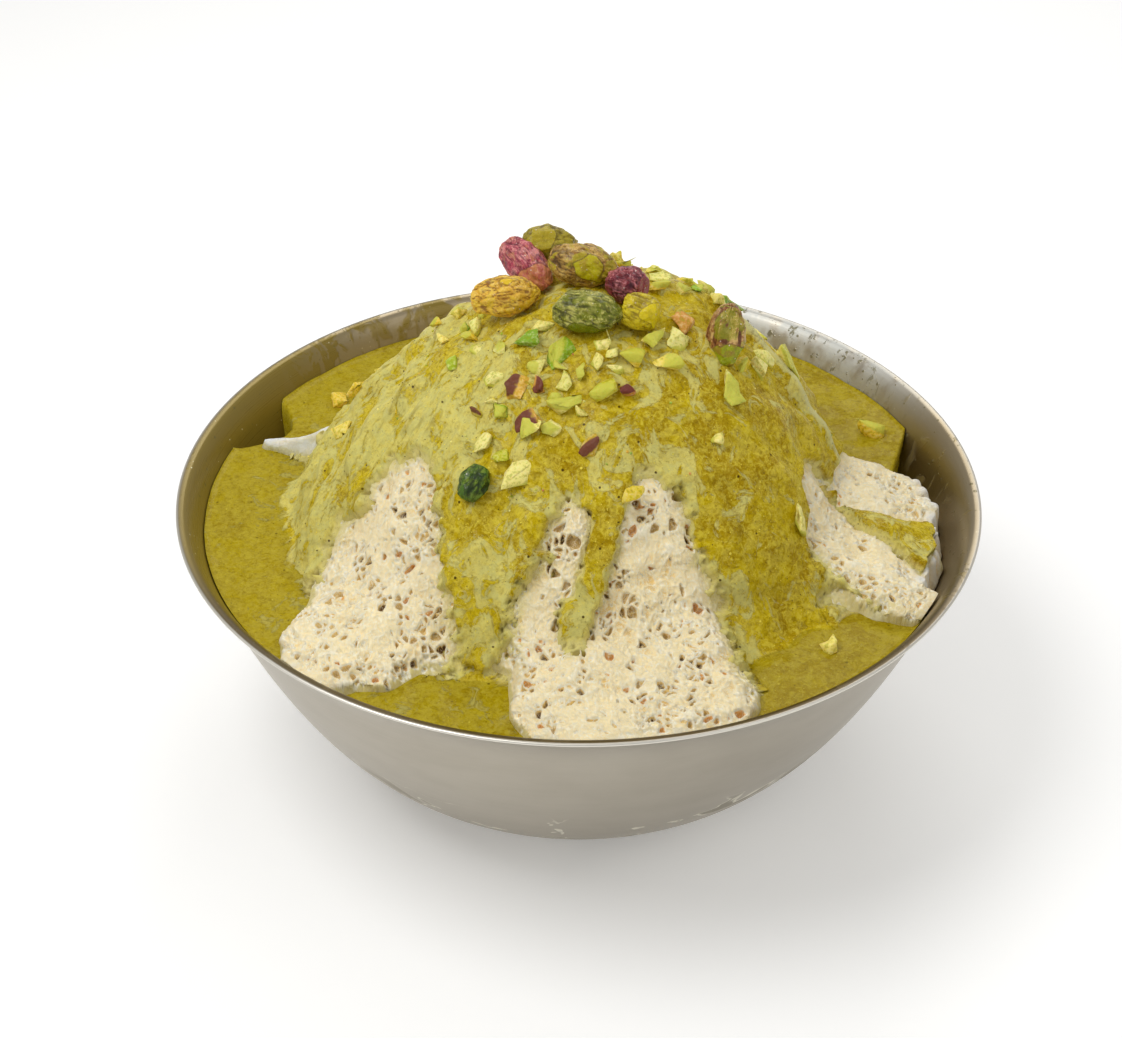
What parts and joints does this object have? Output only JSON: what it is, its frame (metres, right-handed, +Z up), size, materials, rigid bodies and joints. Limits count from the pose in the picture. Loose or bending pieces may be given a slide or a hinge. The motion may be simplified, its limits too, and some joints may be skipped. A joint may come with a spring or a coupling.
{
  "type": "shaved ice dessert in a bowl",
  "caption": "Heap of lacy shaved milk ice in a round steel bowl, with pistachio sauce poured over and pooled round it and whole and chopped pistachios on top.",
  "frame": {"origin": "centre of the bowl's flat foot, on the surface that it stands on", "axes": "+Z up out of the bowl; -Y is the side where the widest window of bare ice is, and +X is to its right"},
  "size_m": [0.18, 0.18, 0.123],
  "materials": {
    "steel": "brushed",
    "milk_ice": "matte, lacy",
    "pistachio_sauce": "wet gloss",
    "pistachio_kernel": "satin"
  },
  "bodies": {
    "root": {"bowl": "steel", "shaved_ice": "milk_ice", "sauce_coat": "pistachio_sauce", "sauce_leaf": "pistachio_sauce", "sauce_pool_left": "pistachio_sauce", "sauce_pool_front": "pistachio_sauce", "sauce_pool_right": "pistachio_sauce", "sauce_pool_back": "pistachio_sauce", "kernel_gold": "pistachio_kernel", "kernel_rose": "pistachio_kernel", "kernel_olive": "pistachio_kernel", "kernel_amber": "pistachio_kernel", "kernel_green": "pistachio_kernel", "kernel_plum": "pistachio_kernel", "kernel_yellow": "pistachio_kernel", "kernel_right": "pistachio_kernel", "kernel_half": "pistachio_kernel"}
  },
  "joints": []
}
